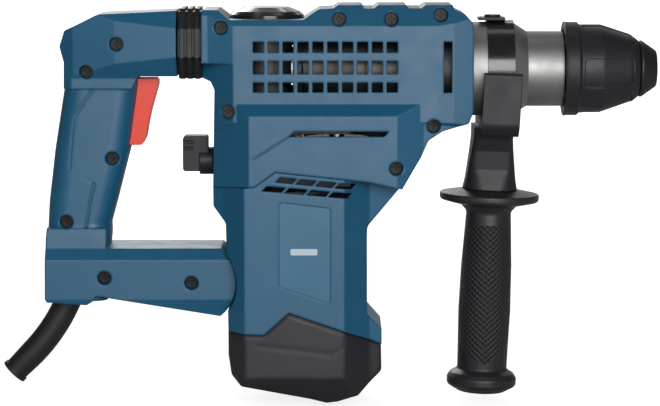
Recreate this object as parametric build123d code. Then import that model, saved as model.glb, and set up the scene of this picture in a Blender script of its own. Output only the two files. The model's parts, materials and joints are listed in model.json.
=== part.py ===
from build123d import *
import math
import os

# Rotary hammer, millimetres. The origin is the mouth of the bit socket, +X points out of the
# chuck along the bit, +Z is up and the operator's right-hand side is -Y.

# ---- driving dimensions ----
WALL = 3.0
HALF_GAP = 0.05
SCREW_BORE_R = 4.5
SCREW_HEAD_R = 3.7
SCREW_SHANK_R = 1.9
PILOT_R = 2.0
BOSS_R = 6.2

CRANK_X = -249.3
MOTOR_X = -229.8
IDLER_X = -204.8
CRANK_THROW = 9.5
ROD_LENGTH = 38.0

BARREL_R = 30.0
BIT_R = 5.05
BORE_R = 15.0

PIVOT_X = -297.2
PIVOT_Z = -135.1
ARM_END_R = 28.5
SOCKET_R = 29.2

CLAMP_X = -100.7
GRIP_X = -103.3
RAKE_DEG = 2.1

# ---- drawing helpers ----


def wire_of(corners):
    """Closed outline from corners (u, v) or (u, v, corner radius)."""
    full = [(*corner, 0.0)[:3] for corner in corners]
    count = len(full)
    spots = []
    for index, (u, v, radius) in enumerate(full):
        here = Vector(u, v)
        before = Vector(*full[index - 1][:2])
        after = Vector(*full[(index + 1) % count][:2])
        back = (before - here).normalized()
        forth = (after - here).normalized()
        if radius <= 0:
            spots.append((here, None, here))
            continue
        half = math.acos(max(-1.0, min(1.0, back.dot(forth)))) / 2
        cut = radius / math.tan(half)
        middle = (back + forth).normalized() * (radius / math.sin(half) - radius)
        spots.append((here + back * cut, here + middle, here + forth * cut))
    edges = []
    for index, (start, mid, end) in enumerate(spots):
        if mid is not None:
            edges.append(Edge.make_three_point_arc(start, mid, end))
        following = spots[(index + 1) % count][0]
        if (following - end).length > 1e-6:
            edges.append(Edge.make_line(end, following))
    return Wire(edges)


def moved_in(corners, inset):
    """The same outline moved inwards."""
    count = len(corners)
    points = [Vector(corner[0], corner[1]) for corner in corners]
    area = sum(points[i - 1].X * points[i].Y - points[i].X * points[i - 1].Y for i in range(count))
    turn = 1 if area > 0 else -1
    result = []
    for index, here in enumerate(points):
        arriving = (here - points[index - 1]).normalized()
        leaving = (points[(index + 1) % count] - here).normalized()
        first = Vector(-arriving.Y, arriving.X) * turn
        second = Vector(-leaving.Y, leaving.X) * turn
        shift = (first + second) * (inset / (1 + first.dot(second)))
        radius = corners[index][2] if len(corners[index]) > 2 else 0.0
        result.append((here.X + shift.X, here.Y + shift.Y, max(radius - inset, 0.0) if radius else 0.0))
    return result


def face_of(corners, inset=0.0):
    """Flat face from corners, drawn a given distance inside its outline."""
    if inset:
        corners = moved_in(corners, inset)
    return Face(wire_of(corners))


def side_prism(corners, y0, y1, inset=0.0):
    """Prism with its outline in X and Z, from y0 to y1."""
    return extrude(Plane.XZ.offset(-y0) * face_of(corners, inset), amount=y1 - y0, dir=(0, 1, 0))


def end_prism(corners, x0, x1, inset=0.0):
    """Prism with its outline in Y and Z, from x0 to x1."""
    return extrude(Plane.YZ.offset(x0) * face_of(corners, inset), amount=x1 - x0, dir=(1, 0, 0))


def plan_prism(corners, z0, z1, inset=0.0):
    """Prism with its outline in X and Y, from z0 to z1."""
    return extrude(Plane.XY.offset(z0) * face_of(corners, inset), amount=z1 - z0, dir=(0, 0, 1))


def mirrored(half):
    """Closed outline from its half at positive first coordinate, mirrored across zero."""
    return half + [(-corner[0], *corner[1:]) for corner in reversed(half)]


def plan_of(half):
    """Plan outline from (x, half width) stations."""
    return half + [(corner[0], -corner[1], *corner[2:]) for corner in reversed(half)]


def rod(radius, start, end):
    """Cylinder between two points."""
    a, b = Vector(*start), Vector(*end)
    plane = Plane(origin=a, z_dir=b - a)
    return plane * Cylinder(radius, (b - a).length, align=(Align.CENTER, Align.CENTER, Align.MIN))


def tube(outer, inner, start, end):
    """Hollow cylinder between two points."""
    return rod(outer, start, end) - rod(inner, start, end)


def rod_x(radius, x0, x1, y=0.0, z=0.0):
    return rod(radius, (x0, y, z), (x1, y, z))


def rod_y(radius, y0, y1, x, z):
    return rod(radius, (x, y0, z), (x, y1, z))


def rod_z(radius, z0, z1, x, y=0.0):
    return rod(radius, (x, y, z0), (x, y, z1))


def turned_x(profile, z=0.0):
    """Solid turned about the X axis from (x, radius) corners."""
    shape = revolve(Face(wire_of(profile)), Axis.X)
    return Pos(0, 0, z) * shape


def turned_z(profile, x, y=0.0):
    """Solid turned about a vertical axis from (radius, z) corners."""
    return Pos(x, y, 0) * revolve(Plane.XZ * Face(wire_of(profile)), Axis.Z)


def block(x0, x1, y0, y1, z0, z1):
    size = (x1 - x0, y1 - y0, z1 - z0)
    return Pos((x0 + x1) / 2, (y0 + y1) / 2, (z0 + z1) / 2) * Box(*size)


def right_half(shape):
    return shape & block(-430, 10, -80, -HALF_GAP, -230, 60)


def left_half(shape):
    return shape & block(-430, 10, HALF_GAP, 80, -230, 60)


def loft_through(sections):
    """Ruled solid through (z, back x, front x, half width, corner radius) stations."""
    faces = []
    for z, back, front, half, cut in sections:
        corners = [(back, -half, cut), (front, -half, cut), (front, half, cut), (back, half, cut)]
        faces.append(Plane.XY.offset(z) * Face(wire_of(corners)))
    return loft(faces, ruled=True)


def ball(radius, x, y, z):
    return Pos(x, y, z) * Sphere(radius)


def coil(radius, wire_r, start, axis, length, turns):
    """Coil spring from start along axis."""
    path = Helix(length / turns, length, radius)
    begin = path @ 0
    section = Plane(origin=begin, z_dir=path % 0) * Circle(wire_r)
    shape = sweep(section, path=path)
    return Plane(origin=Vector(*start), z_dir=Vector(*axis)) * shape


parts = {}

# ---- upper cover ----
COVER_SIDE = [
    (-290, 38.5, 1.5), (-280, 38.5, 1.5), (-272.5, 32.5), (-226, 32.5), (-216, 39, 3), (-207, 39.5),
    (-204, 41.5, 1.5), (-189, 41.5, 1.5), (-187.5, 39.5), (-181.5, 39.5), (-178.5, 41.5, 1.5),
    (-161, 41.5, 1.5), (-159.5, 39.5), (-151.5, 39.5), (-149, 41.5, 1.5), (-131.5, 41.5, 1),
    (-130.5, 38.5), (-124, 36, 2), (-119.5, 31, 1.5), (-118.5, 28), (-118.5, -25.5, 4),
    (-121.5, -33, 3), (-138, -37.6, 4), (-147, -43.4, 4), (-151.8, -54, 2), (-163.6, -73.5),
    (-185, -68.8), (-243.5, -62.5), (-256.5, -72), (-283.3, -74), (-282.1, -12, 4), (-284.5, -7),
    (-290, -4.7),
]
COVER_HOLLOW = [
    (-287, 35.5), (-281, 35.5), (-273.5, 29.5), (-224.5, 29.5), (-215, 36), (-206, 36.5),
    (-133, 36.5), (-126, 33), (-122, 28), (-121.5, -24.5), (-124, -30.5), (-140, -34.8),
    (-149.8, -41), (-154.8, -54.5), (-168, -80), (-280.3, -80), (-279.1, -13), (-282, -9.5),
    (-287, -7.7),
]
UPPER_SECTION = mirrored([(24, 42.5), (37, 28.8), (37, -32), (20, -40)])
LOWER_SECTION = mirrored([(36, -19), (44, -27.5), (44, -100)])
UPPER_PLAN = plan_of([(-291, 31), (-286, 31), (-270, 37), (-142, 37), (-131, 35.5), (-117, 32)])
REAR_CORNER = [(-296, 12), (-286, 21), (-269.5, 37.4), (-269.5, 60), (-296, 60)]
REAR_CORNER_TOP = 5.0
LOWER_PLAN = plan_of([(-291, 18), (-284, 22), (-260, 44), (-167, 44), (-150, 36), (-120, 30)])


def cover_blank(inset, outline):
    """Solid shape of the upper cover, or of its hollow."""
    upper = side_prism(outline, -60, 60) & end_prism(UPPER_SECTION, -300, -100, inset)
    upper = upper & plan_prism(UPPER_PLAN, -40, 50)
    if inset:
        upper = upper & plan_prism(UPPER_PLAN, -40, 50, inset)
    for corner in (REAR_CORNER, [(x, -y) for x, y in REAR_CORNER]):
        upper = upper - plan_prism(corner, -80, REAR_CORNER_TOP + inset, -inset)
    lower = side_prism(outline, -60, 60) & end_prism(LOWER_SECTION, -300, -100, inset)
    lower = lower & plan_prism(LOWER_PLAN, -110, -10, inset)
    return upper + lower


COVER_SCREWS = [
    (-277.5, 27.6, 34), (-203.3, 32.9, 33), (-170.5, 32.8, 33), (-139.3, 35.4, 30),
    (-273.3, -25.1, 36), (-143.7, -34.2, 33), (-167.4, -60.3, 41),
]
VENT_X0 = -257.3
VENT_PITCH = 9.33
VENT_BAR = 2.5
VENT_ROWS = [(12.2, 18.9), (-1.3, 6.9), (-12.8, -6.6)]


def side_vents():
    """Three rows of ten slots through both side walls, and the upright slot by the nose."""
    cuts = []
    for low, high in VENT_ROWS:
        for column in range(10):
            left = VENT_X0 + column * VENT_PITCH
            slot = block(left, left + VENT_PITCH - VENT_BAR, -60, 60, low, high)
            cuts.append(slot)
    cuts.append(block(-137.5, -132.3, -60, 60, -13.1, 18.9))
    return cuts


def bosses(screws):
    """Screw pillars from wall to wall of a shell."""
    return [rod_y(BOSS_R, -half, half, x, z) for x, z, half in screws]


def screw_cuts(screws):
    """Head bores from the right-hand side and pilot holes into the other half."""
    cuts = []
    for x, z, half in screws:
        cuts.append(rod_y(SCREW_BORE_R, -70, -half + 9, x, z))
        cuts.append(rod_y(PILOT_R, -half, half - 8, x, z))
    return cuts


def screw_set(screws):
    """One cross-head screw for each pillar."""
    pieces = []
    for x, z, half in screws:
        seat = -half + 9
        body = rod_y(SCREW_HEAD_R, seat - 2.6, seat, x, z)
        body = body + rod_y(SCREW_SHANK_R, seat, half - 10, x, z)
        body = body - block(x - 2.4, x + 2.4, seat - 2.6, seat - 1.0, z - 0.5, z + 0.5)
        body = body - block(x - 0.5, x + 0.5, seat - 2.6, seat - 1.0, z - 2.4, z + 2.4)
        pieces.append(body)
    return Compound(pieces)


cover = cover_blank(0, COVER_SIDE)
cover_pillars = [pillar & cover for pillar in bosses(COVER_SCREWS)]
cover_shell = cover - cover_blank(WALL, COVER_HOLLOW)
for pillar in cover_pillars:
    cover_shell = cover_shell + pillar
cover_shell = cover_shell - rod_x(BARREL_R + 0.3, -129, -110)
cover_shell = cover_shell - rod_z(24.2, 28, 45, CRANK_X)
cover_shell = cover_shell - side_vents()
for cut in screw_cuts(COVER_SCREWS):
    cover_shell = cover_shell - cut
# slanted slot through each side panel, and the fine line that runs on from it
panel_slot = [(-234.5, -40.2), (-231.5, -36.8), (-172, -36.8), (-175, -40.2)]
panel_line = [(-234.4, -39.6), (-257.5, -54.4), (-256.2, -54.4), (-233.6, -40.0)]
for side in (-1, 1):
    slot = side_prism(panel_slot, 0, 8)
    line = side_prism(panel_line, 0, 1.2)
    cover_shell = cover_shell - Pos(0, 38 if side > 0 else -46, 0) * slot
    cover_shell = cover_shell - Pos(0, 43.2 if side > 0 else -44.4, 0) * line
parts["upper_cover_right"] = right_half(cover_shell)
parts["upper_cover_left"] = left_half(cover_shell)
parts["cover_screws"] = screw_set(COVER_SCREWS)

# ---- motor housing ----
HOUSING_SIDE = [
    (-283.3, -74.3), (-256.6, -72.3), (-243.4, -62.8), (-185, -69.1), (-163.7, -73.8),
    (-185.2, -98.4, 5), (-185.5, -104.5), (-185.4, -154.5, 3), (-176, -164.7, 2), (-176, -174.6),
    (-200.8, -163.5), (-235, -151.8), (-251, -166), (-273.6, -165), (-274.6, -112.5),
    (-275.1, -96.3, 3), (-283.2, -86.2, 3),
]
HOUSING_HOLLOW = [
    (-280.2, -60), (-168, -60), (-168.7, -73.3), (-188.4, -97.3), (-188.8, -104.5), (-188.8, -155),
    (-179.4, -166), (-179.4, -200), (-266.3, -200), (-266.3, -100), (-271.5, -95.4), (-280.2, -84.8),
]
HOUSING_PLAN = plan_of([(-285, 20), (-277, 27.5), (-263, 44), (-200, 44), (-184, 28), (-150, 17)])
HOUSING_VENTS = [(-240.0, -65.6, 12.4), (-248.5, -71.2, 13.9)]


def housing_vents():
    """Two rows of four slanted slots on each side."""
    cuts = []
    for start_x, start_z, pitch in HOUSING_VENTS:
        for column in range(4):
            x = start_x + column * pitch
            z = start_z - column * 1.25
            corners = [(x, z), (x + pitch - 2, z - 1.0), (x + pitch - 5, z - 4.2), (x - 3.5, z - 3.2)]
            cuts.append(side_prism(corners, -60, 60))
    return cuts


housing = side_prism(HOUSING_SIDE, -60, 60) & plan_prism(HOUSING_PLAN, -200, -50)
housing = housing - (side_prism(HOUSING_HOLLOW, -60, 60) & plan_prism(HOUSING_PLAN, -210, -50, WALL))
housing = housing - rod_y(SOCKET_R, -60, 60, PIVOT_X, PIVOT_Z)
housing = housing - housing_vents()
# lug that carries the handle pivot
lug = block(PIVOT_X, -266.8, -6, 6, PIVOT_Z - 8, PIVOT_Z + 8) + rod_y(13, -6, 6, PIVOT_X, PIVOT_Z)
housing = housing + lug - rod_y(8.3, -7, 7, PIVOT_X, PIVOT_Z)
# blank rating plate set into the right-hand side
PLATE = [(-241.0, -81.6, 2), (-208.8, -85.4, 2), (-208.8, -145.8, 2), (-241.0, -134.8, 2)]
parts["motor_housing"] = housing - side_prism(PLATE, -50, -43.4)
parts["rating_plate"] = side_prism(PLATE, -44.0, -43.45, 0.15)

# ---- motor end cap ----
CAP_SIDE = [
    (-273.6, -165.3), (-251, -166.4), (-235, -152.2), (-200.8, -163.9), (-176.4, -175),
    (-176.1, -191.5, 4), (-191, -206, 3), (-204, -210.5), (-211, -211.5, 3), (-222, -208.5),
    (-265, -199.5, 4), (-271.6, -192.7, 3), (-273.6, -180),
]
CAP_HOLLOW = [
    (-266.3, -150), (-179.5, -150), (-179.5, -190), (-192.5, -203), (-205, -207), (-221, -205.2),
    (-263.5, -196.3), (-266.3, -191),
]
CAP_SECTION = mirrored([(44, -140), (44, -194), (31, -213)])
CAP_SCREWS = [(-193.8, -196), (-262, -190)]
cap = side_prism(CAP_SIDE, -60, 60) & plan_prism(HOUSING_PLAN, -215, -140)
cap = cap & end_prism(CAP_SECTION, -290, -160)
cap_hollow = side_prism(CAP_HOLLOW, -60, 60) & plan_prism(HOUSING_PLAN, -215, -140, WALL)
cap = cap - (cap_hollow & end_prism(CAP_SECTION, -290, -160, WALL))
cap = cap + rod_z(14, -206.5, -190.4, MOTOR_X) - rod_z(11.03, -198, -185, MOTOR_X)
for x, z in CAP_SCREWS:
    cap = cap + (rod_z(5.5, -212, -185, x) & side_prism(CAP_SIDE, -60, 60))
    cap = cap - rod_z(2.0, -212, -186, x) - rod_z(4.2, -215, z - 4, x)
# raised step line round the cap
step = side_prism([(-256, -173), (-208, -179), (-200, -175), (-198, -164), (-199.2, -164),
                   (-201, -174), (-208, -177.6), (-255, -171.8)], -50, -43.4)
cap = cap - step - mirror(step, Plane.XZ)
parts["end_cap"] = cap
parts["end_cap_screws"] = Compound([
    rod_z(3.6, z - 7, z - 4.1, x) + rod_z(1.9, z - 4.1, -186.5, x)
    - block(x - 2.4, x + 2.4, -0.5, 0.5, z - 7, z - 5.4)
    for x, z in CAP_SCREWS
])

# ---- aluminium gear case ----
nose_profile = [
    (-60.5, 18.5), (-60.5, 24), (-83.4, 24), (-92.5, BARREL_R), (-128, BARREL_R), (-128, 25.5),
    (-226, 25.5), (-226, 18.6), (-126, 18.6), (-126, 24.03), (-93.5, 24.03), (-93.5, 18.5),
    (-71.5, 18.5), (-71.5, 21.5), (-63, 21.5), (-63, 18.5),
]
gear_case = turned_x(nose_profile)
gear_case = gear_case + tube(26.5, 25.2, (-201.5, 0, 0), (-186.5, 0, 0))
gear_case = gear_case - rod_x(25.2, -200.5, -187.5)
chamber = rod_z(19.6, -40, 26, CRANK_X) + rod_z(21.5, 24, 30.5, CRANK_X) + rod_z(23.7, -8.5, 8.5, CRANK_X)
plate_plan = plan_of([(-266, 13), (-255, 26), (-196, 26), (-182, 14)])
chamber = chamber + plan_prism(plate_plan, -40, -27)
chamber = chamber - rod_x(18.6, -240, -180)
# upright web between the crank chamber and the barrel
chamber = chamber + (block(-243, -224, -3, 3, -25, 25) - rod_x(18.65, -240, -180))
gear_case = gear_case + chamber
gear_case = gear_case - rod_z(21.7, -6, 6, CRANK_X) - rod_z(16.6, -26, 26, CRANK_X)
gear_case = gear_case - rod_z(18.8, 23, 31, CRANK_X)
gear_case = gear_case - rod_x(15.5, -250, -220)
gear_case = gear_case - rod_z(15.03, -38.1, -26, CRANK_X) - rod_z(8, -41, -26, CRANK_X)
gear_case = gear_case - rod_z(11.03, -38.1, -28.9, IDLER_X) - rod_z(7.5, -41, -18, IDLER_X)
gear_case = gear_case - rod_z(6, -41, -30, MOTOR_X)
for x, z, half in COVER_SCREWS:
    gear_case = gear_case - rod_y(BOSS_R + 0.4, -50, 50, x, z)
parts["gear_case"] = gear_case

bridge_plan = plan_of([(-266, 18), (-250, 31), (-196, 31), (-182, 16)])
gear_plate = plan_prism(bridge_plan, -73, -60)
gear_plate = gear_plate - rod_z(16.03, -73.1, -62.5, MOTOR_X) - rod_z(9, -63, -59, MOTOR_X)
gear_plate = gear_plate - rod_z(7.5, -69, -59, IDLER_X)
parts["gear_plate"] = gear_plate

# ---- grease cap ----
dome = turned_z([(0, 40.3), (14, 39.5), (21.2, 36.9), (23.7, 34.6, 0.8), (23.7, 31.6), (0, 31.6)], CRANK_X)
dome = dome + rod_z(18.5, 27, 31.7, CRANK_X)
for side in (-1, 1):
    dome = dome - block(CRANK_X - 17.5, CRANK_X - 12.5, side * 3 - 1.6, side * 3 + 1.6, 37.0, 42)
    dome = dome - block(CRANK_X + 12.5, CRANK_X + 17.5, side * 3 - 1.6, side * 3 + 1.6, 37.0, 42)
parts["grease_cap"] = dome

# ---- D-handle ----
UPPER_ARM = [
    (-305.2, 37.8), (-355.9, 35.5, 12), (-371.7, 27.6, 5), (-377.6, 25, 3), (-381.1, 14.7, 3),
    (-378.2, 5), (-378.4, -12), (-335, -12), (-330.7, -3.8, 3), (-305.2, -3.8),
]
UPPER_ARM_SECTION = mirrored([(22, 38.5), (30.5, 26.7), (30.5, 8.7), (19, -5), (19, -14)])
UPPER_ARM_PLAN = plan_of([(-306, 30.5), (-345, 27), (-372, 20), (-382, 12)])
LOWER_ARM = [
    (-390.7, -145.5, 2), (-389.5, -147.8), (-364.2, -149.6, 2), (-360.2, -147.0), (-358.1, -143.4, 2),
    (-268, -159.0), (-262, -113.6), (-352, -113.6), (-352, -101), (-389.8, -101), (-390.4, -107.6),
]
LOWER_ARM_SECTION = mirrored([(18, -98), (22, -113.6), (27, -120.5), (27, -146), (20, -162)])
GRIP_STATIONS = [
    (-148, -390.4, -352, 18.5, 9), (-120, -390.6, -351.2, 19, 10), (-105, -390.2, -349.6, 18.5, 12),
    (-98.5, -389.9, -349.6, 18, 13), (-84.9, -389.2, -345.8, 18, 13.5), (-50.7, -385.0, -336.9, 18, 13.5),
    (-10.1, -378.4, -331.2, 18, 13), (8, -378.2, -331.0, 18, 12),
]
HANDLE_SCREWS = [
    (-343.9, 16.9, 26), (-363.5, -1, 17.5), (-347.8, -56.4, 17.5), (-377.3, -97, 17.5),
    (-352.6, -131.9, 26), (PIVOT_X, PIVOT_Z, 26),
]


def handle_blank(inset):
    """Solid shape of the D-handle, or of its hollow."""
    upper = side_prism(UPPER_ARM, -50, 50, inset) & end_prism(UPPER_ARM_SECTION, -400, -300, inset)
    upper = upper & plan_prism(UPPER_ARM_PLAN, -20, 45, inset)
    lower = side_prism(LOWER_ARM, -50, 50, inset) & end_prism(LOWER_ARM_SECTION, -400, -250, inset)
    near_end = block(-400, PIVOT_X, -50, 50, -170, -90)
    lower = lower & (near_end + rod_y(ARM_END_R - inset, -50, 50, PIVOT_X, PIVOT_Z))
    stations = [(z, back + inset, front - inset, half - inset, max(cut - inset, 1.0))
                for z, back, front, half, cut in GRIP_STATIONS]
    if inset:
        stations[0] = (-146, *stations[0][1:])
    return upper + lower + loft_through(stations)


GUARD_TOP = Vector(-375.6, 0, -143)
GUARD_START = Vector(-0.345, 0, -0.9386).normalized()
GUARD_BEND_END = Vector(-402.2, 0, -185.0)
guard_chord = (GUARD_BEND_END - GUARD_TOP).normalized()
GUARD_RUN = guard_chord * (2 * guard_chord.dot(GUARD_START)) - GUARD_START
GUARD_TIP = GUARD_BEND_END + GUARD_RUN * 17
CORD_R = 4.4
EXIT_R = 4.55


def guard_bend(radius):
    """Curved stretch of the cord guard."""
    path = Edge.make_tangent_arc(GUARD_TOP, GUARD_START, GUARD_BEND_END)
    section = Plane(origin=GUARD_TOP, z_dir=GUARD_START) * Circle(radius)
    return sweep(section, path=path)


def along(start, run, length):
    """Two end points of a stretch."""
    return tuple(start), tuple(start + run * length)


handle = handle_blank(0)
handle_pillars = [pillar & handle for pillar in bosses(HANDLE_SCREWS)]
handle = handle - handle_blank(WALL)
for pillar in handle_pillars:
    handle = handle + pillar
handle = handle - rod_y(13.6, -7, 7, PIVOT_X, PIVOT_Z)
handle = handle - block(PIVOT_X, -262, -6.6, 6.6, PIVOT_Z - 11, PIVOT_Z + 11)
handle = handle - block(-352, -320, -8.5, 8.5, -49.3, -4.2)
handle = handle - guard_bend(8.9) - rod(11.2, *along(GUARD_TOP + GUARD_START * 0.3, GUARD_START, -4.2))
for cut in screw_cuts(HANDLE_SCREWS):
    handle = handle - cut
# the back strip of the grip stands a little lower than the side panel
PANEL_LINE = [
    (-374.4, 5.6), (-347.4, 4.4), (-348.2, 3.2), (-371.6, -31), (-374.2, -64), (-358.4, -72.4),
    (-361.6, -85.2), (-364.8, -104.4), (-387.8, -112.8), (-388.2, -111.4), (-366.3, -103.4),
    (-363.1, -85), (-360.2, -71.6), (-375.7, -63.2), (-373.0, -30.4), (-350.0, 3.4), (-374.4, 4.4),
]
for side in (-1, 1):
    line = side_prism(PANEL_LINE, 0, 0.8)
    handle = handle - Pos(0, 17.3 if side > 0 else -18.1, 0) * line
parts["handle_shell_right"] = right_half(handle)
parts["handle_shell_left"] = left_half(handle)
parts["handle_screws"] = screw_set(HANDLE_SCREWS)
parts["handle_pivot_sleeve"] = tube(8, 2.2, (PIVOT_X, -6.9, PIVOT_Z), (PIVOT_X, 6.9, PIVOT_Z))

# ---- bellows and vibration spring ----
BELLOWS_X0 = -304.9
BELLOWS_X1 = -290.3
bellows = end_prism(UPPER_ARM_SECTION, BELLOWS_X0, BELLOWS_X1, 1.2)
bellows = bellows & block(-310, -280, -50, 50, -5.2, 50)
for rib in range(3):
    left = -303.6 + rib * 4.7
    bellows = bellows + (end_prism(UPPER_ARM_SECTION, left, left + 2.8, -0.7)
                         & block(-310, -280, -50, 50, -5.4, 50))
bellows = bellows - (end_prism(UPPER_ARM_SECTION, -320, -280, 4.2) & block(-320, -280, -50, 50, -2.2, 50))
parts["bellows"] = bellows
parts["handle_spring"] = coil(6, 1.1, (-303.6, 0, 16), (1, 0, 0), 12, 5)

# ---- trigger and switch ----
trigger = side_prism([
    (-344.5, -6), (-318.6, -5.8, 2), (-318.6, -10, 3), (-323.4, -26.7, 20), (-325.4, -36.3, 10),
    (-326.6, -43.5, 3), (-329, -48.5, 3), (-344.5, -48.5),
], -8, 8)
parts["trigger"] = trigger
parts["trigger_spring"] = coil(3.2, 0.7, (-351.6, 0, -28), (1, 0, 0), 6.4, 4)
parts["trigger_switch"] = block(-370, -352.5, -9, 9, -45, -10)

# ---- cord guard and clamp ----
guard = guard_bend(8.5) + rod(10.8, *along(GUARD_TOP, GUARD_START, -3.2))
taper = Cone(8.5, 7.8, 17, align=(Align.CENTER, Align.CENTER, Align.MIN))
guard = guard + Plane(origin=GUARD_BEND_END, z_dir=GUARD_RUN) * taper
guard = guard + rod(8.8, *along(GUARD_TIP, GUARD_RUN, -2.4))
guard = guard - guard_bend(CORD_R) - rod(CORD_R + 0.4, *along(GUARD_TOP + GUARD_START, GUARD_START, -6))
guard = guard - rod(EXIT_R, *along(GUARD_TIP + GUARD_RUN * 4, GUARD_RUN, -21.5))
parts["cord_guard"] = guard
parts["cord_clamp"] = block(-384, -366, -12, 12, -127, -121.5) - block(-378, -372, -8, 8, -128, -123.5)

# ---- mode knob ----
KNOB_Z = -59.2
knob = rod_x(8.8, -292.6, -284.0, 0, KNOB_Z) + rod_x(4, -284.1, -277.5, 0, KNOB_Z)
knob = knob + side_prism([(-303.3, -44.5, 1.5), (-301.8, -42.8), (-287.2, -42.8, 1.5), (-287.2, -65.6, 2),
                          (-303.3, -65.6, 2)], -6.5, 6.5)
for slot_z in (-47, -51):
    knob = knob - block(-304, -297, -8, -5.7, slot_z - 0.8, slot_z + 0.8)
    knob = knob - block(-304, -297, 5.7, 8, slot_z - 0.8, slot_z + 0.8)
parts["mode_knob"] = knob
for name in ("upper_cover_right", "upper_cover_left"):
    parts[name] = parts[name] - rod_x(4.3, -290, -275, 0, KNOB_Z)

# ---- motor ----
stator = rod_z(36, -154, -98, MOTOR_X) + rod_z(33.5, -161, -92.5, MOTOR_X)
parts["stator"] = stator - rod_z(24.2, -165, -90, MOTOR_X)
parts["armature_core"] = tube(23.5, 6.03, (MOTOR_X, 0, -153), (MOTOR_X, 0, -99)) - [
    Pos(MOTOR_X, 0, -126) * Rot(0, 0, 30 * k) * Pos(22.6, 0, 0) * Box(3, 1.6, 60) for k in range(12)
]
parts["armature_windings"] = tube(20.5, 6.03, (MOTOR_X, 0, -160), (MOTOR_X, 0, -153)) + tube(
    20.5, 6.03, (MOTOR_X, 0, -99), (MOTOR_X, 0, -93))
parts["commutator"] = tube(16, 6.03, (MOTOR_X, 0, -181), (MOTOR_X, 0, -162)) - [
    Pos(MOTOR_X, 0, -172) * Rot(0, 0, 15 * k) * Pos(15.6, 0, 0) * Box(1.6, 0.5, 22) for k in range(24)
]


def toothed(radius, root, teeth, z0, z1, x, bore):
    """Spur gear with straight-flanked teeth."""
    corners = []
    for tooth in range(teeth):
        base = 2 * math.pi * tooth / teeth
        for share, reach in ((-0.30, root), (-0.16, radius), (0.16, radius), (0.30, root)):
            angle = base + share * 2 * math.pi / teeth
            corners.append((reach * math.cos(angle), reach * math.sin(angle)))
    gear = Pos(x, 0, 0) * plan_prism(corners, z0, z1)
    return gear - rod_z(bore, z0 - 1, z1 + 1, x) if bore else gear


shaft = rod_z(6, -189.5, -59, MOTOR_X) + rod_z(4, -197.5, -189, MOTOR_X)
parts["armature_shaft"] = shaft + toothed(3.9, 2.9, 8, -59.5, -41.5, MOTOR_X, 0)
fan = tube(10, 6.03, (MOTOR_X, 0, -89), (MOTOR_X, 0, -76))
fan = fan + tube(34.5, 9, (MOTOR_X, 0, -78), (MOTOR_X, 0, -76))
for blade in range(12):
    fan = fan + Pos(MOTOR_X, 0, -83) * Rot(0, 0, 30 * blade) * Pos(24, 0, 0) * Box(20, 1.6, 10.4)
parts["fan"] = fan
parts["air_baffle"] = tube(35.6, 27, (MOTOR_X, 0, -91.8), (MOTOR_X, 0, -89.6))


def bearing(outer, inner, z0, z1, x):
    """Ball bearing: two rings and a ring of balls, as separate solids."""
    step = (outer - inner) / 3
    rings = [
        tube(outer, outer - step, (x, 0, z0), (x, 0, z1)),
        tube(inner + step, inner, (x, 0, z0), (x, 0, z1)),
    ]
    size = min(step / 2 - 0.05, (z1 - z0) / 2 - 0.3)
    middle = (outer + inner) / 2
    for index in range(8):
        angle = index * math.pi / 4
        rings.append(ball(size, x + middle * math.cos(angle), middle * math.sin(angle), (z0 + z1) / 2))
    return Compound(rings)


parts["motor_bearings"] = Compound([
    bearing(16, 6.02, -72.8, -62.6, MOTOR_X), bearing(11, 4.02, -197.3, -190.5, MOTOR_X)])
holders, brushes, brush_springs = [], [], []
for side in (-1, 1):
    low, high = sorted((side * 18.5, side * 39))
    end_low, end_high = sorted((side * 18, side * 37))
    holder = block(MOTOR_X - 5.5, MOTOR_X + 5.5, low, high, -180, -163)
    holders.append(holder - block(MOTOR_X - 3.6, MOTOR_X + 3.6, end_low, end_high, -178.1, -164.9))
    low, high = sorted((side * 16.3, side * 31))
    brushes.append(block(MOTOR_X - 3.5, MOTOR_X + 3.5, low, high, -178, -165))
    brush_springs.append(coil(2.4, 0.5, (MOTOR_X, side * 31.6, -171.5), (0, side, 0), 4.7, 4))
parts["brush_holders"] = Compound(holders)
parts["brushes"] = Compound(brushes)
parts["brush_springs"] = Compound(brush_springs)

# ---- crank drive ----
crank = rod_z(15.5, -14, -6.5, CRANK_X) + rod_z(7, -58, -14, CRANK_X)
crank = crank + rod_z(5, -6.6, -5.4, CRANK_X + CRANK_THROW)
parts["crankshaft"] = crank
parts["crank_gear"] = toothed(15.4, 14.4, 31, -52, -44, CRANK_X, 7.02)
parts["gear_bearings"] = Compound([
    bearing(15, 7.02, -38, -28, CRANK_X), bearing(11, 5.02, -38, -29, IDLER_X)])
WRIST_X = CRANK_X + CRANK_THROW + ROD_LENGTH
conrod = rod_z(5.5, -4.5, 4.5, 0) + rod_z(6.8, -5, 5, -ROD_LENGTH)
conrod = conrod + block(-ROD_LENGTH + 4, -2, -3.5, 3.5, -4, 4)
conrod = conrod - rod_z(3.05, -6, 6, 0) - rod_z(5.1, -6, 6, -ROD_LENGTH)
parts["connecting_rod"] = Pos(WRIST_X, 0, 0) * conrod
piston = turned_x([(WRIST_X - 7, 0), (WRIST_X - 7, 14.9), (WRIST_X + 18, 14.9), (WRIST_X + 18, 13),
                   (WRIST_X + 21, 13), (WRIST_X + 21, 14.9), (WRIST_X + 25, 14.9), (WRIST_X + 25, 0)])
piston = piston - block(WRIST_X - 8, WRIST_X + 7.5, -12, 12, -5.2, 5.2)
piston = piston - rod_z(3.02, -16, 16, WRIST_X)
parts["piston"] = piston
parts["wrist_pin"] = rod_z(3, -13.6, 13.6, WRIST_X)
parts["piston_ring"] = tube(14.8, 13.02, (WRIST_X + 18.1, 0, 0), (WRIST_X + 20.9, 0, 0))

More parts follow.
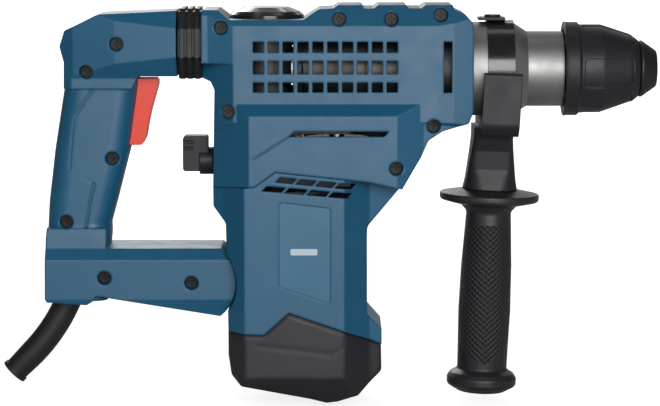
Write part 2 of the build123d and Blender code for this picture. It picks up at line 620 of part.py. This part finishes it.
# ---- intermediate shaft and bevel drive ----
idler = rod_z(5, -68.5, -25, IDLER_X)
idler = idler + turned_z([(0, -25.2), (5.6, -23.6), (4.7, -19.8), (0, -19.8)], IDLER_X)
parts["intermediate_shaft"] = idler
parts["intermediate_gear"] = toothed(20.9, 19.9, 42, -56, -44, IDLER_X, 5.02)

# ---- spindle, striker and chuck ----
spindle = turned_x([
    (0, 8, 0), (-11.6, 8), (-11.6, 16), (-55.2, 16), (-55.2, 22), (-57.5, 22), (-57.5, 16),
    (-124, 16), (-124, 18), (-222, 18), (-222, BORE_R), (-126, BORE_R), (-126, 9), (-80, 9),
    (-80, 5.4), (-18.5, 5.4), (-18.5, BIT_R), (0, BIT_R),
])
BALL_X = -34.0
spindle = spindle - rod(3.4, (BALL_X, -17, 0), (BALL_X, 17, 0))
for side in (-1, 1):
    low, high = sorted((side * 4.2, side * 6))
    spindle = spindle + block(-66, -46, -1.2, 1.2, low, high)
for hole in range(3):
    spindle = spindle - Rot(120 * hole + 60, 0, 0) * rod(1.5, (-146, 0, 0), (-146, 0, 20))
parts["spindle"] = spindle
parts["bevel_gear"] = turned_x([(-199.4, 18.05), (-199.4, 19.8), (-198.6, 23.2), (-196, 24.4), (-189, 24.4),
                                (-189, 18.05)])
striker = rod_x(14.88, -170, -142) - tube(16, 13.6, (-164, 0, 0), (-161, 0, 0))
parts["striker"] = striker + rod_x(6.5, -142.2, -138)
impact_bolt = rod_x(8.7, -119, -88) - tube(10, 7.4, (-106, 0, 0), (-103, 0, 0))
parts["impact_bolt"] = impact_bolt + rod_x(5.0, -88.2, -82)
parts["striker_seal"] = tube(14.9, 13.62, (-163.9, 0, 0), (-161.1, 0, 0))
parts["impact_bolt_seal"] = tube(8.85, 7.42, (-105.9, 0, 0), (-103.1, 0, 0))
parts["lock_balls"] = Compound([ball(3.2, BALL_X, side * 8.3, 0) for side in (-1, 1)])


def bearing_x(outer, inner, x0, x1):
    """Ball bearing on the spindle axis."""
    step = (outer - inner) / 3
    rings = [
        tube(outer, outer - step, (x0, 0, 0), (x1, 0, 0)),
        tube(inner + step, inner, (x0, 0, 0), (x1, 0, 0)),
    ]
    size = step / 2 - 0.05
    middle = (outer + inner) / 2
    for index in range(10):
        angle = index * math.pi / 5
        rings.append(ball(size, (x0 + x1) / 2, middle * math.cos(angle), middle * math.sin(angle)))
    return Compound(rings)


parts["spindle_bearing"] = bearing_x(24, 16.02, -108, -96)
parts["barrel_seal"] = tube(21.4, 16.3, (-71.2, 0, 0), (-63.3, 0, 0))
nose_cap = turned_x([
    (-11.2, 8.2), (-11.2, 18.2, 0.8), (-9.5, 18.0), (-2.2, 12.9, 2), (-0.2, 11.4, 0.8), (-0.2, 8.2),
])
parts["nose_cap"] = nose_cap
sleeve = turned_x([
    (-11.8, 16.3), (-11.8, 18.0, 0.6), (-15.5, 21, 3), (-18, 22.4, 3), (-36, 28.3, 6), (-49.7, 28.3),
    (-51.2, 29.9, 0.6), (-58, 29.9), (-59.3, 30.3, 0.4), (-59.8, 29.8), (-59.8, 25.4), (-46, 25.4),
    (-46, 16.3),
])
WINDOW_PITCH = 72.0
WINDOW_FIRST = 165.0
for window in range(5):
    pad = plan_prism([(-48, -9.2, 3), (-48, 9.2, 3), (-16, 9.2, 3), (-16, -9.2, 3)], 17.5, 40)
    shell = turned_x([(-14, 19.0), (-18, 21.4), (-36, 27.2), (-50, 27.2), (-50, 40), (-14, 40)])
    sleeve = sleeve - Rot(WINDOW_FIRST + WINDOW_PITCH * window, 0, 0) * (pad & shell)
parts["chuck_sleeve"] = sleeve
parts["sleeve_spring"] = coil(19, 0.9, (-54.2, 0, 0), (1, 0, 0), 7.2, 3)

# ---- side handle ----
band = tube(31.2, 30.25, (CLAMP_X - 8.6, 0, 0), (CLAMP_X + 8.6, 0, 0))
parts["clamp_band"] = band
parts["clamp_plate"] = block(CLAMP_X - 13.5, CLAMP_X + 3.2, -11, 11, 31.25, 33.0)
parts["clamp_rivet"] = rod_z(5.2, 33.05, 34.6, CLAMP_X - 4.4)


def raked(shape):
    """Lean a shape drawn about a vertical axis back to the line of the side grip."""
    return Pos(GRIP_X, 0, 0) * Rot(0, RAKE_DEG, 0) * shape


YOKE_SECTION = [(-37, -1, 2), (37, -1, 2), (37, -35, 6), (31, -41, 3), (-31, -41, 3), (-37, -35, 6)]
yoke = end_prism(YOKE_SECTION, -20, 20)
yoke = yoke & side_prism([(-8.4, -0.9), (15.6, -0.9), (14.8, -41), (-9.2, -41)], -40, 40)


def stem_level(z, half_x, half_y, radius):
    """Rounded rectangle of the yoke's stem at one height."""
    corners = [(-half_x, -half_y, radius), (half_x, -half_y, radius), (half_x, half_y, radius),
               (-half_x, half_y, radius)]
    return Plane.XY.offset(z) * Face(wire_of(corners))


STEM_LEVELS = [
    (-37, 12.6, 24, 3), (-44, 12.6, 20, 4), (-52, 13.5, 16, 4), (-64, 15.0, 15, 6), (-71, 16.0, 16, 10),
    (-77.2, 17.4, 17.4, 14),
]
yoke = yoke + loft([stem_level(*level) for level in STEM_LEVELS], ruled=True)
yoke = raked(yoke) - rod_x(31.5, CLAMP_X - 30, CLAMP_X + 30)
yoke = yoke - raked(rod_z(4.2, -80, -40, 0)) - raked(block(-6.7, 6.7, -6.7, 6.7, -44.8, -36))
parts["clamp_yoke"] = yoke
parts["clamp_bolt"] = raked(rod_z(4, -120, -45, 0) + block(-6.5, 6.5, -6.5, 6.5, -44.6, -40.2)) \
    - rod_x(31.4, CLAMP_X - 30, CLAMP_X + 30)
grip_profile = [
    (4.3, -77.6), (18, -77.6), (31.9, -80.2, 1), (31.9, -84.6, 2), (18, -88), (14.4, -92, 4), (14.6, -96),
    (16.2, -127, 20), (16.8, -157, 20), (16.3, -177), (16.0, -194.5, 2),
    (20.5, -197.2, 2), (22.4, -200, 2), (22.4, -205, 3),
    (15, -209.3, 3), (0, -209.3), (0, -150), (4.3, -150),
]
parts["side_grip"] = raked(turned_z(grip_profile, 0))

os.makedirs("parts", exist_ok=True)
for name, shape in parts.items():
    export_step(shape, f"parts/{name}.step")
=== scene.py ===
import json
import math

import bmesh
import bpy
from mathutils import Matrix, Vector


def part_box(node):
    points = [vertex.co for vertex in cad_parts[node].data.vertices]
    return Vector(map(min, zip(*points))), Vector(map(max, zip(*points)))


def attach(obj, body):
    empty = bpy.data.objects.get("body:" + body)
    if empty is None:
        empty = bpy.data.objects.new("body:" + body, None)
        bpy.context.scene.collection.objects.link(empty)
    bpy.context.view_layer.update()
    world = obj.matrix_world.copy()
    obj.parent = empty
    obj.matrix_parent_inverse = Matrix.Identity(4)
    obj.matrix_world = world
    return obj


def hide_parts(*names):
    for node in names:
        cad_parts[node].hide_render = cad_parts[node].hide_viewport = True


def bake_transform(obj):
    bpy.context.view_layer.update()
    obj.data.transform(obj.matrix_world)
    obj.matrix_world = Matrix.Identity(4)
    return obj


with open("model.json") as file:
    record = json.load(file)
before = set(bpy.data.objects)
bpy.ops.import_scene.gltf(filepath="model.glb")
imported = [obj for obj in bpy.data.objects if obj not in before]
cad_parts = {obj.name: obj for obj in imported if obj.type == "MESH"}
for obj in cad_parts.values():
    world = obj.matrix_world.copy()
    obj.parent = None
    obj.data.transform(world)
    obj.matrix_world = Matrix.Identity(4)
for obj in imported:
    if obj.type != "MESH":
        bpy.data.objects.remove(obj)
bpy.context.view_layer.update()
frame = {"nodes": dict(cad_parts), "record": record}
nodes = frame["nodes"]

# ---------------------------------------------------------------- materials


COAT_ROUGHNESS = 0.1
BEVEL_SAMPLES = 6
GLOSS_TO_BLOTCH = 3.1  # how much finer the gloss pattern is than the colour pattern
WEAR_GRAIN = 140.0
WORN_EDGE = (0.80, 0.985)  # cosine between the rounded and the flat normal, worn to unworn


def link(tree, source, target):
    """Join two sockets."""
    tree.links.new(source, target)


def surface(name, color, rough, *, metallic=0.0, grain=0.0, grain_size=900.0, vary=0.10,
            vary_size=22.0, edge=0.0006, wear=0.0, wear_color=(0.6, 0.6, 0.6), rough_vary=0.06,
            coat=0.0, specular=0.5, grain_depth=0.00006):
    """A procedural surface: grain bump, rounded edges, colour and gloss variation, and edge wear."""
    mat = bpy.data.materials.new(name)
    mat.use_nodes = True
    tree = mat.node_tree
    n = tree.nodes
    bsdf = n["Principled BSDF"]
    bsdf.inputs["Metallic"].default_value = metallic
    bsdf.inputs["Specular IOR Level"].default_value = specular
    bsdf.inputs["Coat Weight"].default_value = coat
    bsdf.inputs["Coat Roughness"].default_value = COAT_ROUGHNESS
    where = n.new("ShaderNodeTexCoord").outputs["Object"]

    def noise(scale, detail=3.0, roughness=0.55):
        node = n.new("ShaderNodeTexNoise")
        node.inputs["Scale"].default_value = scale
        node.inputs["Detail"].default_value = detail
        node.inputs["Roughness"].default_value = roughness
        link(tree, where, node.inputs["Vector"])
        return node.outputs["Fac"]

    def spread(value, low, high, start=0.3, stop=0.7):
        node = n.new("ShaderNodeMapRange")
        node.inputs["From Min"].default_value = start
        node.inputs["From Max"].default_value = stop
        node.inputs["To Min"].default_value = low
        node.inputs["To Max"].default_value = high
        link(tree, value, node.inputs["Value"])
        return node.outputs["Result"]

    blotch = noise(vary_size, 4.0)
    mix = n.new("ShaderNodeMix")
    mix.data_type = "RGBA"
    mix.inputs[6].default_value = (*[c * (1 - vary) for c in color], 1)
    mix.inputs[7].default_value = (*[min(1, c * (1 + vary)) for c in color], 1)
    link(tree, spread(blotch, 0.0, 1.0), mix.inputs[0])
    paint = mix.outputs[2]
    bevel = n.new("ShaderNodeBevel")
    bevel.samples = BEVEL_SAMPLES
    bevel.inputs["Radius"].default_value = edge
    normal = bevel.outputs["Normal"]
    if wear > 0:
        geometry = n.new("ShaderNodeNewGeometry")
        dot = n.new("ShaderNodeVectorMath")
        dot.operation = "DOT_PRODUCT"
        link(tree, normal, dot.inputs[0])
        link(tree, geometry.outputs["Normal"], dot.inputs[1])
        rim = spread(dot.outputs["Value"], wear, 0.0, *WORN_EDGE)
        patch = n.new("ShaderNodeMath")
        patch.operation = "MULTIPLY"
        link(tree, rim, patch.inputs[0])
        link(tree, spread(noise(WEAR_GRAIN, 5.0), 0.2, 1.0, 0.42, 0.62), patch.inputs[1])
        worn = n.new("ShaderNodeMix")
        worn.data_type = "RGBA"
        worn.inputs[7].default_value = (*wear_color, 1)
        link(tree, patch.outputs["Value"], worn.inputs[0])
        link(tree, paint, worn.inputs[6])
        paint = worn.outputs[2]
    link(tree, paint, bsdf.inputs["Base Color"])
    if grain > 0:
        bump = n.new("ShaderNodeBump")
        bump.inputs["Strength"].default_value = grain
        bump.inputs["Distance"].default_value = grain_depth
        link(tree, noise(grain_size, 2.0, 0.6), bump.inputs["Height"])
        link(tree, normal, bump.inputs["Normal"])
        normal = bump.outputs["Normal"]
    link(tree, normal, bsdf.inputs["Normal"])
    gloss = spread(noise(vary_size * GLOSS_TO_BLOTCH, 5.0), rough - rough_vary, rough + rough_vary)
    link(tree, gloss, bsdf.inputs["Roughness"])
    return mat


BLUE = (0.0050, 0.094, 0.186)
looks = {
    "blue_plastic": surface("blue_plastic", BLUE, 0.44, grain=0.5, grain_size=1500, vary=0.05,
                            edge=0.0019, wear=0.12, wear_color=(0.09, 0.22, 0.30), specular=0.6),
    "black_plastic": surface("black_plastic", (0.017, 0.015, 0.020), 0.48, grain=0.6, grain_size=1400,
                             edge=0.0012, specular=0.38, wear=0.2, wear_color=(0.09, 0.09, 0.095)),
    "gloss_black": surface("gloss_black", (0.012, 0.012, 0.013), 0.20, grain=0.12, grain_size=500,
                           edge=0.0005, vary=0.15, coat=0.3),
    "black_rubber": surface("black_rubber", (0.011, 0.011, 0.012), 0.50, grain=0.7, grain_size=1100,
                            edge=0.0008, wear=0.25, wear_color=(0.07, 0.07, 0.07)),
    "red_plastic": surface("red_plastic", (0.80, 0.042, 0.010), 0.36, grain=0.2, grain_size=1300,
                           edge=0.0012, vary=0.05),
    "cast_aluminium": surface("cast_aluminium", (0.34, 0.34, 0.335), 0.52, metallic=1.0, grain=0.6,
                              grain_size=700, edge=0.0006, vary=0.12, grain_depth=0.00010),
    "steel": surface("steel", (0.50, 0.50, 0.50), 0.30, metallic=1.0, grain=0.3, grain_size=500,
                     edge=0.0003, vary=0.1),
    "dark_steel": surface("dark_steel", (0.006, 0.006, 0.007), 0.42, specular=0.3, grain=0.3,
                          grain_size=700, edge=0.0003),
    "copper": surface("copper", (0.60, 0.24, 0.11), 0.35, metallic=1.0, grain=0.3, grain_size=500,
                      edge=0.0003),
    "carbon": surface("carbon", (0.02, 0.02, 0.02), 0.6, grain=0.3, grain_size=900, edge=0.0003),
    "plate_film": surface("plate_film", (0.030, 0.135, 0.235), 0.34, grain=0.1, grain_size=300,
                          edge=0.0002),
}


GRIP_TOP_X = -0.1033  # where the grip's axis crosses the barrel's axis
GRIP_LEAN = 0.03667  # metres along X for each metre along Z
KNURL_TEETH = 26.0
KNURL_PITCH = 1750.0
KNURL_LOW = -0.190
KNURL_HIGH = -0.100
KNURL_V = 0.010
KNURL_DEPTH = 0.0005


def knurled(name):
    """Black moulded grip with a diamond knurl round its middle, ending in a V on the camera side."""
    mat = surface(name, (0.019, 0.018, 0.021), 0.42, grain=0.4, grain_size=1300, edge=0.0009)
    tree = mat.node_tree
    n = tree.nodes

    def math_node(operation, *values):
        node = n.new("ShaderNodeMath")
        node.operation = operation
        for index, value in enumerate(values):
            if isinstance(value, (int, float)):
                node.inputs[index].default_value = value
            else:
                link(tree, value, node.inputs[index])
        return node.outputs["Value"]

    split = n.new("ShaderNodeSeparateXYZ")
    link(tree, n.new("ShaderNodeTexCoord").outputs["Object"], split.inputs["Vector"])
    axis_x = math_node("MULTIPLY_ADD", split.outputs["Z"], GRIP_LEAN, GRIP_TOP_X)
    angle = math_node("ARCTAN2", split.outputs["Y"], math_node("SUBTRACT", split.outputs["X"], axis_x))
    around = math_node("MULTIPLY", angle, KNURL_TEETH)
    along = math_node("MULTIPLY", split.outputs["Z"], KNURL_PITCH)
    left = math_node("SINE", math_node("ADD", around, along))
    right = math_node("SINE", math_node("SUBTRACT", around, along))
    diamond = math_node("MINIMUM", left, right)
    turned = math_node("ABSOLUTE", math_node("ADD", angle, math.pi / 2))
    drop = math_node("MULTIPLY", turned, KNURL_V)
    low = math_node("GREATER_THAN", split.outputs["Z"], math_node("ADD", drop, KNURL_LOW))
    high = math_node("LESS_THAN", split.outputs["Z"], KNURL_HIGH)
    height = math_node("MULTIPLY", diamond, math_node("MULTIPLY", low, high))
    bump = n.new("ShaderNodeBump")
    bump.inputs["Strength"].default_value = 0.9
    bump.inputs["Distance"].default_value = KNURL_DEPTH
    bsdf = n["Principled BSDF"]
    old = bsdf.inputs["Normal"].links[0].from_socket
    link(tree, height, bump.inputs["Height"])
    link(tree, old, bump.inputs["Normal"])
    link(tree, bump.outputs["Normal"], bsdf.inputs["Normal"])
    return mat


def shade_behind(mat, x_limit, share):
    """Paint shade into the part of a casting that lies inside the covers: its colour is made darker there
    as painted shade.
    """
    tree = mat.node_tree
    n = tree.nodes
    bsdf = n["Principled BSDF"]
    split = n.new("ShaderNodeSeparateXYZ")
    link(tree, n.new("ShaderNodeTexCoord").outputs["Object"], split.inputs["Vector"])
    inside = n.new("ShaderNodeMath")
    inside.operation = "LESS_THAN"
    inside.inputs[1].default_value = x_limit
    link(tree, split.outputs["X"], inside.inputs[0])
    painted_shade = n.new("ShaderNodeMix")
    painted_shade.data_type = "RGBA"
    painted_shade.blend_type = "MULTIPLY"
    painted_shade.inputs[7].default_value = (share, share * 0.94, share * 0.92, 1)
    link(tree, inside.outputs["Value"], painted_shade.inputs[0])
    link(tree, bsdf.inputs["Base Color"].links[0].from_socket, painted_shade.inputs[6])
    link(tree, painted_shade.outputs[2], bsdf.inputs["Base Color"])


COVER_FRONT_X = -0.1212
PAINTED_SHADE_SHARE = 0.22
# plates seen only through the vents, where they are in the dark, get the near-black dark_steel look as
# painted shade
SHADE_PAINTED_WORKS = ("gear_plate", "air_baffle")
# painted shade: the cast aluminium behind the cover front is darkened in its base colour
shade_behind(looks["cast_aluminium"], COVER_FRONT_X, PAINTED_SHADE_SHARE)
slot_of = {sub["node"]: sub["material_slot"] for sub in frame["record"]["subparts"]}
for name, obj in nodes.items():
    obj.data.materials.clear()
    obj.data.materials.append(looks[slot_of[name]])
nodes["side_grip"].data.materials[0] = knurled("knurled_grip")
nodes["end_cap"].data.materials[0] = surface("cap_plastic", (0.018, 0.016, 0.021), 0.46, grain=0.6,
                                             grain_size=1400, edge=0.0050)
# painted shade: these plates take a near-black look in place of their own finish
for name in SHADE_PAINTED_WORKS:
    nodes[name].data.materials[0] = looks["dark_steel"]

# ---------------------------------------------------------------- rating plate marks

CORNER_STEPS = 4
MARK_LIFT = 0.00003
STRIP_ROUND = 0.0010
STRIP_REAR = 0.0070
STRIP_FRONT = 0.0240
STRIP_LOW = -0.1150
STRIP_TOP = -0.1110


def on_housing(name, mesh, look, smooth):
    """Turn a drawn mesh into a piece that rides on the housing."""
    data = bpy.data.meshes.new(name)
    mesh.to_mesh(data)
    mesh.free()
    for polygon in data.polygons:
        polygon.use_smooth = smooth
    data.materials.append(look)
    obj = bpy.data.objects.new(name, data)
    bpy.context.collection.objects.link(obj)
    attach(obj, "housing")


def rounded_bar(x0, x1, z0, z1, radius):
    """Corner points of a flat rounded rectangle on the plate, measured from the plate's rear edge."""
    points = []
    for cx, cz, start in ((x1 - radius, z0 + radius, -90), (x1 - radius, z1 - radius, 0),
                          (x0 + radius, z1 - radius, 90), (x0 + radius, z0 + radius, 180)):
        for step in range(CORNER_STEPS + 1):
            angle = math.radians(start + 90 * step / CORNER_STEPS)
            x = plate_low.x + cx + radius * math.cos(angle)
            points.append(Vector((x, plate_low.y - MARK_LIFT, cz + radius * math.sin(angle))))
    return points


def marks(name, bars, look):
    """Thin printed shapes on the rating plate, as one mesh."""
    mesh = bmesh.new()
    for points in bars:
        mesh.faces.new([mesh.verts.new(p) for p in points])
    on_housing(name, mesh, look, False)


plate_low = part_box("rating_plate")[0]
print_pale = surface("print_pale", (0.50, 0.58, 0.62), 0.35, vary=0.05, edge=0.0001)
marks("plate_strip", [rounded_bar(STRIP_REAR, STRIP_FRONT, STRIP_LOW, STRIP_TOP, STRIP_ROUND)], print_pale)

# ---------------------------------------------------------------- barrel gasket

GASKET_TURNS = 96


def lathe_x(name, profile, look):
    """Closed ring about the barrel axis from (x, radius) points."""
    mesh = bmesh.new()
    rings = []
    for turn in range(GASKET_TURNS):
        angle = 2 * math.pi * turn / GASKET_TURNS
        rings.append([mesh.verts.new((x, r * math.cos(angle), r * math.sin(angle))) for x, r in profile])
    for turn, ring in enumerate(rings):
        after = rings[(turn + 1) % GASKET_TURNS]
        for spot in range(len(profile)):
            follow = (spot + 1) % len(profile)
            mesh.faces.new((ring[spot], ring[follow], after[follow], after[spot]))
    bmesh.ops.recalc_face_normals(mesh, faces=mesh.faces)
    on_housing(name, mesh, look, True)


lathe_x("barrel_gasket", [
    (-0.2262, 0.0190), (-0.2262, 0.0243), (-0.2275, 0.0250), (-0.2288, 0.0243), (-0.2301, 0.0250),
    (-0.2314, 0.0243), (-0.2322, 0.0240), (-0.2324, 0.0232), (-0.2324, 0.0194), (-0.2318, 0.0190),
], looks["black_rubber"])

# ---------------------------------------------------------------- springs and bellows, copied out of their parts


def flexible(name, node):
    """Copy of a soft node, baked into place, with the original node hidden."""
    obj = bpy.data.objects.new(name, nodes[node].data.copy())
    bpy.context.collection.objects.link(obj)
    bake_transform(obj)
    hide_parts(node)
    return obj


flexible("bellows_soft", "bellows")
flexible("handle_spring_soft", "handle_spring")
flexible("trigger_spring_soft", "trigger_spring")
flexible("sleeve_spring_soft", "sleeve_spring")

# ---------------------------------------------------------------- stage, light, camera


PAPER_GLOW = 0.82


def floor_paint(name):
    """White studio paper: diffuse, and bright to the camera so that it prints white."""
    mat = bpy.data.materials.new(name)
    mat.use_nodes = True
    tree = mat.node_tree
    bsdf = tree.nodes["Principled BSDF"]
    bsdf.inputs["Base Color"].default_value = (0.55, 0.55, 0.55, 1)
    bsdf.inputs["Roughness"].default_value = 0.9
    bsdf.inputs["Specular IOR Level"].default_value = 0.0
    bsdf.inputs["Emission Color"].default_value = (1, 1, 1, 1)
    seen = tree.nodes.new("ShaderNodeLightPath").outputs["Is Camera Ray"]
    power = tree.nodes.new("ShaderNodeMath")
    power.operation = "MULTIPLY"
    power.inputs[1].default_value = PAPER_GLOW
    link(tree, seen, power.inputs[0])
    link(tree, power.outputs["Value"], bsdf.inputs["Emission Strength"])
    return mat


FLOOR_Z = -0.2150
FLOOR_FRONT_Y = -4.0
BEND_Y = 3.4
BEND_R = 1.2
BEND_STEPS = 24
WALL_TOP_Z = 6.0
FLOOR_HALF_WIDTH = 6


def sweep_floor():
    """Pale floor that curves up into a backdrop."""
    line = [(FLOOR_FRONT_Y, FLOOR_Z)]
    for step in range(BEND_STEPS + 1):
        t = step * math.pi / 2 / BEND_STEPS
        line.append((BEND_Y + BEND_R * math.sin(t), FLOOR_Z + BEND_R - BEND_R * math.cos(t)))
    line.append((BEND_Y + BEND_R, WALL_TOP_Z))
    mesh = bpy.data.meshes.new("floor")
    verts = [(x, y, z) for y, z in line for x in (-FLOOR_HALF_WIDTH, FLOOR_HALF_WIDTH)]
    faces = [(2 * i, 2 * i + 1, 2 * i + 3, 2 * i + 2) for i in range(len(line) - 1)]
    mesh.from_pydata(verts, [], faces)
    for polygon in mesh.polygons:
        polygon.use_smooth = True
    obj = bpy.data.objects.new("floor", mesh)
    bpy.context.collection.objects.link(obj)
    mesh.materials.append(floor_paint("floor_white"))


sweep_floor()


def area_light(name, place, target, size, power):
    """Soft rectangular light, size in metres and power in watts."""
    data = bpy.data.lights.new(name, "AREA")
    data.shape = "RECTANGLE"
    data.size, data.size_y = size
    data.energy = power
    obj = bpy.data.objects.new(name, data)
    bpy.context.collection.objects.link(obj)
    obj.location = place
    obj.rotation_euler = (Vector(target) - Vector(place)).to_track_quat("-Z", "Y").to_euler()


AIM = (-0.2, 0.0, -0.07)
area_light("key", (0.20, -2.3, 0.45), AIM, (1.6, 1.1), 43)
area_light("fill", (-1.2, -1.6, 0.5), AIM, (0.7, 0.9), 3)
area_light("top", (-0.2, 0.3, 1.6), AIM, (1.2, 0.4), 1.5)
area_light("behind", (-0.7, 1.7, 0.8), AIM, (1.0, 0.6), 9)
area_light("back_wash", (-0.2, 3.1, 2.2), (-0.2, 4.2, 0.2), (4.0, 1.0), 90)

world = bpy.data.worlds.new("studio")
bpy.context.scene.world = world
world.use_nodes = True
background = world.node_tree.nodes["Background"]
background.inputs["Color"].default_value = (1.0, 1.0, 1.0, 1)
background.inputs["Strength"].default_value = 0.08

DISTANCE = 1.70
ELEVATION = math.radians(6.5)
TARGET = Vector((-0.20897, 0.0, -0.08681))
camera_data = bpy.data.cameras.new("camera")
camera_data.sensor_width = 36.0
camera_data.lens = 143.8
camera = bpy.data.objects.new("camera", camera_data)
bpy.context.collection.objects.link(camera)
camera.location = TARGET + Vector((0.0, -math.cos(ELEVATION), math.sin(ELEVATION))) * DISTANCE
camera.rotation_euler = (math.radians(90.0) - ELEVATION, 0.0, 0.0)
bpy.context.scene.camera = camera
bpy.context.scene.view_settings.view_transform = "Standard"
